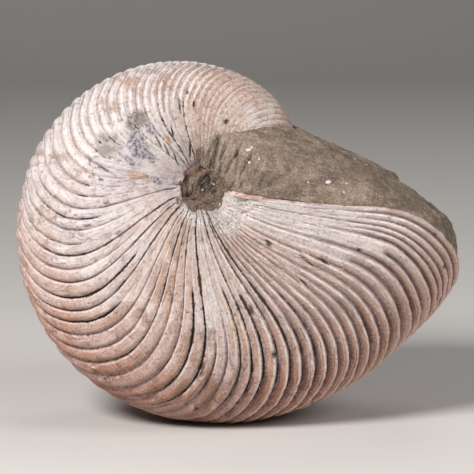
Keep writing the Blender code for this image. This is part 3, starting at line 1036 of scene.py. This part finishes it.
def paint_ribs(g):
    """Crests in white as chalky wear and painted highlight, stained slopes, grooves in painted
    shade.
    """
    # Painted shade in the grooves, strongest on young ribs, the lower belly and between ridged ribs:
    # brown and lilac with some stain, then umber deepest in.
    shaded = g.largest(g.young, g.times(g.belly, g.lower), g.times("ridged", 0.45))
    shade = g.between(shaded, 0.3, 0.66)
    stained = g.mottled(g.blotch, 0.44, 0.55, BROWN, LILAC)
    g.paint(stained, ("groove", 0.1, 0.7), shade)
    g.paint(UMBER, ("groove", 0.55, 1), shade, (g.old, 1, 0))
    # Painted warm shade on the belly of the lower turns.
    g.paint((162, 108, 84), g.belly, g.lower, g.between(g.young, 0.55, 0.4))

    slope = g.jittered(g.jittered("slope", g.fine_streak, 0.3), g.blotch, 0.25)
    # Lilac at the foot of each young rib is painted shade.
    g.paint((136, 118, 128), g.young, (slope, 0.32, 0.2), 0.52)
    g.paint((196, 144, 108), g.band(slope, 0.26, 0.36, 0.54, 0.64), g.young,
            (g.streak, 0.42, 0.56, 0.25, 0.9))
    g.paint(g.white, g.band(slope, 0.42, 0.45, 0.48, 0.51), g.young, (g.tint, 0.44, 0.5), 0.85)
    g.paint(g.white, g.band(slope, 0.54, 0.62, 0.76, 0.82), g.young, 0.85)

    tawny = g.times((g.lower, 0, 0.6), ("turn", -74, -100))
    g.paint((204, 164, 128), tawny, (g.tint, 0.5, 0.6), 0.45)
    g.paint((214, 200, 204), tawny, (g.tint, 0.48, 0.4), 0.35)
    # On the older ribs, a painted highlight along the side that faces the light, and painted shade
    # in brown along the other side.
    side = g.jittered("slope", g.blotch, 0.08)
    older_ribs = g.band("turn", -262, -236, -90, -66)
    g.paint(g.white, g.band(side, 0.05, 0.09, 0.13, 0.22), older_ribs, (g.tint, 0.4, 0.54, 0.3, 0.9))
    g.paint(BROWN, (side, 0.6, 0.9), older_ribs, g.between(g.lower, 0.15, 0.3))

    # The crests' white is chalky wear and a painted highlight.
    g.paint(CHALK, "crest", (g.grain, 0.34, 0.48), 0.9)
    by_lip = g.times(("turn", -40, -10), ("groove", 0.8, 0.3))
    g.paint(g.white, by_lip, (g.streak, 0.36, 0.56, 0.35, 0.8))
    ledge = g.times(g.band(slope, 0.62, 0.68, 0.76, 0.8), g.young)
    g.paint(CHALK, ledge, (g.grain, 0.36, 0.5), 0.75)


def paint_plates(g):
    """Plates that differ a little and have pale broken edges, and the tints of large regions."""
    place = g.warped_lines(0.17, 0.045, g.tint, 1.6, 1.4)
    plate = g.cells(place, "Color")
    plated = g.band("turn", -170, -130, -26, -14)
    g.paint(BROWN, (plate, 0.54, 0.66), plated, 0.14)
    g.paint(g.white, (plate, 0.46, 0.34), plated, 0.16)
    edge = g.plus(g.cells(place, "Distance", "DISTANCE_TO_EDGE"), g.times(g.blotch, 0.08))
    by_navel = g.ramp(g.size, 56, 74)
    g.scaly = g.times((edge, 0.075, 0.055), by_navel,
                      g.band("turn", -70, -54, -36, -20), (g.grain, 0.44, 0.54))
    g.plate_height = g.times(plate, plated)
    g.paint(g.white, g.scaly, 0.6)
    g.paint((186, 146, 128), by_navel, g.band("turn", -78, -56, -34, -18),
            (g.streak, 0.6, 0.44), 0.35)
    smooth_belt = g.times((g.size, 62, 92), ("turn", -30, -10))
    g.paint(g.white, smooth_belt, (g.streak, 0.36, 0.56), 0.75)
    g.paint(LILAC, smooth_belt, (g.streak, 0.44, 0.34), 0.6)

    left = g.times(g.band("turn", -244, -214, -172, -138), (g.blotch, 0.58, 0.42))
    g.paint(g.white, left, ("groove", 0.9, 0.2), 0.38)
    # Painted warm shade towards the belly of the lower turns; the oldest turn is toned down.
    low_painted_shade, old_tint = (0.92, 0.75, 0.68, 1), (0.86, 0.83, 0.82, 1)
    g.paint(low_painted_shade, (g.size, 76, 32), g.lower, mode="MULTIPLY")
    g.paint(old_tint, ("turn", -185, -275), mode="MULTIPLY")
    g.paint(UMBER, (g.grain, 0.46, 0.34), 0.34)
    g.paint(g.white, (g.grain, 0.55, 0.66), 0.5)


def paint_marks(g):
    """The marks of the near flank, the sandy rim of the navel and the broken lip."""
    g.paint(g.mottled(g.grain, 0.4, 0.62, (112, 105, 98), (166, 155, 146)), "grey", 0.95)
    g.paint(g.mottled(g.blotch, 0.44, 0.56, (134, 124, 118), (186, 174, 164)), "ash", 0.75)
    g.paint(g.mottled(g.grain, 0.42, 0.58, (92, 90, 108), (200, 188, 190)), "violet", 0.85)
    grime = g.mottled(g.tint, 0.44, 0.56, (150, 132, 130), (186, 152, 124))
    g.paint(grime, "grime", (g.blotch, 0.44, 0.56), 0.7)
    rust = g.mottled(g.blotch, 0.42, 0.56, (216, 176, 146), (184, 132, 104))
    g.paint(rust, "rust", (g.blotch, 0.62, 0.44), 0.75)
    g.paint((192, 112, 68), "ochre", 0.8)
    g.paint((104, 66, 56), "stain", (g.grain, 0.36, 0.52, 0.5, 1), 0.85)
    g.paint(g.white, "pale", 0.8)
    g.paint((162, 120, 98), "bare", 0.75)
    g.paint((146, 112, 86), "sandy", (g.grain, 0.46, 0.36), 0.6)
    g.paint(g.white, "sandy", (g.grain, 0.41, 0.5), 0.9)
    g.paint(g.mottled(g.blotch, 0.42, 0.58, (168, 130, 116), (214, 192, 184)), "broken")


def paint_cracks(g):
    """Open grooves, cracks across the ribs, specks, holes, flakes and their painted shadows. Returns
    the pits' depth.
    """
    wide = g.times(("cracked", 0.5, 1.1), (g.tint, 0.47, 0.6))
    edge = g.maths("MULTIPLY_ADD", wide, -0.3, "near")
    slit = g.ramp(g.jittered(g.jittered(edge, g.blotch, 0.9), g.grain, 1.2), 0.34, 0.12)
    dashes = g.along_lines(0.19, 0.085, 5, 0.65)
    opened = g.ramp(g.maths("MULTIPLY_ADD", "cracked", 0.4, dashes), 0.66, 0.8)
    open_slit = g.times(slit, ("cracked", 0.05, 0.3), opened)
    net = g.cells(g.warped_lines(0.1, 0.07, g.blotch, 0.35, 0.9), "Distance", "DISTANCE_TO_EDGE")
    net_crack = g.times((net, 0.016, 0.006), (g.tint, 0.52, 0.58),
                        (g.grain, 0.42, 0.5), ("turn", -44, -60))
    speck = g.ramp(g.noise(g.place, 620, 4, 0.7), 0.63, 0.68)
    # A pale rim beside the grooves: chipped edges, and a painted highlight.
    rim = g.times(g.band("near", 0.28, 0.45, 0.55, 1), (g.grain, 0.44, 0.54), (g.young, 1, 0))
    g.paint(g.white, rim, 0.5)
    pits = g.largest(open_slit, g.times(net_crack, 0.5), g.times(speck, 0.5),
                     g.times(g.plate_edge, ("turn", -36, -60), 0.28), g.times("pit_and_shadow", 0.9))
    g.paint((238, 214, 190), "flake", (g.grain, 0.36, 0.5), 0.85)
    # Dark in the cracks, specks and holes; beside a flake the hole's dark is its painted shadow.
    g.paint(DARK, pits, 0.92)
    return pits


def shell_material():
    g = shell_graph()
    paint_ground(g)
    paint_ribs(g)
    paint_plates(g)
    paint_marks(g)
    pits = paint_cracks(g)
    relief = g.weighted((g.fine_streak, 1), (g.grain, 1.3), (g.hair, 0.5), (g.blotch, 1.1),
                        (pits, -1.4), (g.flaked, -0.45), (g.scaly, 0.9), (g.plate_height, 0.4))
    return g.finish(g.ramp(g.blotch, 0.3, 0.7, 0.5, 0.8), 0.35, relief, 0.6 * MM)


def stone_material():
    g = Graph("fossil_stone")
    cloud = g.noise(g.place, 60, 5, 0.6)
    blotch = g.noise(g.place, 300, 5, 0.7, 0.4)
    grain = g.noise(g.place, 1500, 3, 0.75)
    stretched = g.add("ShaderNodeMapping", {"Vector": g.place, "Scale": (1, 1, 3.2)})
    bedding = g.noise(stretched.outputs[0], 70, 4, 0.6, 0.5)
    g.colour = g.mottled(cloud, 0.35, 0.65, (106, 91, 79), (131, 114, 100))
    g.paint((164, 146, 130), (bedding, 0.5, 0.66), 0.45)
    g.paint((98, 84, 74), (bedding, 0.47, 0.34), 0.55)
    g.paint((172, 156, 140), (blotch, 0.5, 0.66), 0.45)
    g.paint((84, 71, 62), (blotch, 0.48, 0.34), 0.55)
    g.paint((166, 148, 134), "by_navel", 0.35)

    # Scratches that run down towards the navel
    def along(way, scale):
        product = g.add("ShaderNodeVectorMath", {0: g.place, 1: way}, operation="DOT_PRODUCT")
        return g.times(product.outputs[1], scale)

    scratch_place = g.vector(along((0.92, 0.15, -0.39), 1000), along((0.39, 0, 0.92), 75),
                             along((0, 1, 0), 75))
    scratch = g.noise(scratch_place, 1, 2, 0.6)
    dark_scratch = g.times((scratch, 0.58, 0.68), "by_navel")
    g.paint((70, 58, 50), dark_scratch, 0.45)
    g.paint((170, 154, 138), (scratch, 0.44, 0.34), "by_navel", 0.3)

    # The navel's stone, darkened partly by painted shade of the navel's pit, and what is only in
    # places
    navel_stone_and_shade = g.mottled(blotch, 0.43, 0.57, (124, 102, 90), (58, 44, 38))
    g.paint(navel_stone_and_shade, "plug", (blotch, 0.7, 0.42, 0.5, 1), 0.85)
    hollow = g.mottled(scratch, 0.4, 0.58, (128, 112, 98), (52, 42, 37))
    g.paint(hollow, "wedge", 0.85)
    g.paint(g.mottled(blotch, 0.42, 0.56, (86, 56, 48), (134, 98, 86)), "stain", 0.8)
    # Near black: painted shade in the pits and clefts, and the scratches' own dark.
    g.paint((38, 30, 26), "cleft", 0.9)
    g.paint((200, 186, 168), (grain, 0.54, 0.68), 0.48)
    g.paint((58, 48, 42), (grain, 0.46, 0.32), 0.75)
    fleck = g.plus("fleck", g.times(blotch, 0.5))
    g.paint((214, 198, 198), (fleck, 0.68, 0.8))
    height = g.weighted((grain, 0.8), (blotch, 1), (dark_scratch, -0.7))
    return g.finish(0.92, 0.2, height, 0.8 * MM)


# Studio

LIGHTS_AIM = Vector((0, 0, 0.06))
BACKDROP_STEPS = 12


def make_camera(centre):
    right, up, back = camera_axes()
    pixel = MM_PER_PIXEL * MM
    place = Vector(centre) + right * (IMAGE / 2 - COIL_PIXEL[0]) * pixel
    place -= up * (IMAGE / 2 - COIL_PIXEL[1]) * pixel
    place += back * CAMERA_DISTANCE * pixel
    data = bpy.data.cameras.new("camera")
    data.sensor_width = SENSOR
    data.lens = SENSOR * CAMERA_DISTANCE / IMAGE
    data.clip_start, data.clip_end = 0.05, 20.0
    camera = add_object("camera", data)
    matrix = Matrix((right, up, back)).transposed().to_4x4()
    matrix.translation = place
    camera.matrix_world = matrix
    bpy.context.scene.camera = camera


def make_light(name, azimuth, elevation, distance, width, watts, colour):
    away = direction(azimuth, elevation)
    data = bpy.data.lights.new(name, "AREA")
    data.shape = "DISK"
    data.size = width
    data.energy = watts
    data.color = colour
    light = add_object(name, data)
    light.location = LIGHTS_AIM + away * distance
    light.rotation_mode = "QUATERNION"
    light.rotation_quaternion = away.to_track_quat("Z", "Y")


def make_floor():
    """A pale floor that curves up into a backdrop behind the fossil."""
    front, depth, bend, height, half = -3.0, 1.2, 0.6, 2.2, 4.0
    profile = [(front, 0.0), (depth, 0.0)]
    for k in range(1, BACKDROP_STEPS + 1):
        a = math.radians(90 * k / BACKDROP_STEPS)
        profile.append((depth + bend * math.sin(a), bend * (1 - math.cos(a))))
    profile.append((depth + bend, height))
    points = [(x, y, z) for y, z in profile for x in (-half, half)]
    faces = [(k, k + 1, k + 3, k + 2) for k in range(0, len(points) - 2, 2)]
    floor = new_mesh("floor", points, faces)
    g = Graph("floor")
    g.feed(g.shader.inputs["Base Color"], (196, 192, 188))
    g.feed(g.shader.inputs["Roughness"], 0.9)
    floor.data.materials.append(g.material)


def make_studio(centre):
    make_camera(centre)
    make_floor()
    make_light("key", -40, 37, 1.0, 0.32, 13.7, (1.0, 0.99, 0.98))
    make_light("fill", 56, 34, 1.2, 0.6, 6.3, (0.99, 0.985, 1.0))
    make_light("top", 150, 62, 1.2, 0.6, 2.2, (1.0, 1.0, 1.0))
    world = bpy.data.worlds.new("studio")
    world.use_nodes = True
    background = world.node_tree.nodes["Background"]
    background.inputs["Color"].default_value = (0.85, 0.85, 0.85, 1.0)
    background.inputs["Strength"].default_value = 0.08
    bpy.context.scene.world = world
    bpy.context.scene.view_settings.view_transform = "Standard"


def coil_centre():
    """Where the coil's axis crosses the mid-plane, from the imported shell's box."""
    low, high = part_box("ribbed_shell")
    turn = np.arange(-340.0, LIP_ANGLE, 0.25)[:, None]
    skin = coil_point(turn, np.linspace(-60, 60, 121)[None, :])
    return np.array((low[0] - skin[..., 0].min(), 0.0, high[2] - skin[..., 2].max()))


def main():
    centre = coil_centre()
    shell = make_shell(centre)
    stone = make_stone(centre)
    shell.data.materials.append(shell_material())
    stone.data.materials.append(stone_material())
    for piece, node, slot in ((shell, "ribbed_shell", "shell"), (stone, "stone_fill", "stone")):
        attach(piece, "root")
        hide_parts(node)
    make_studio(centre)
    bpy.context.view_layer.update()


main()
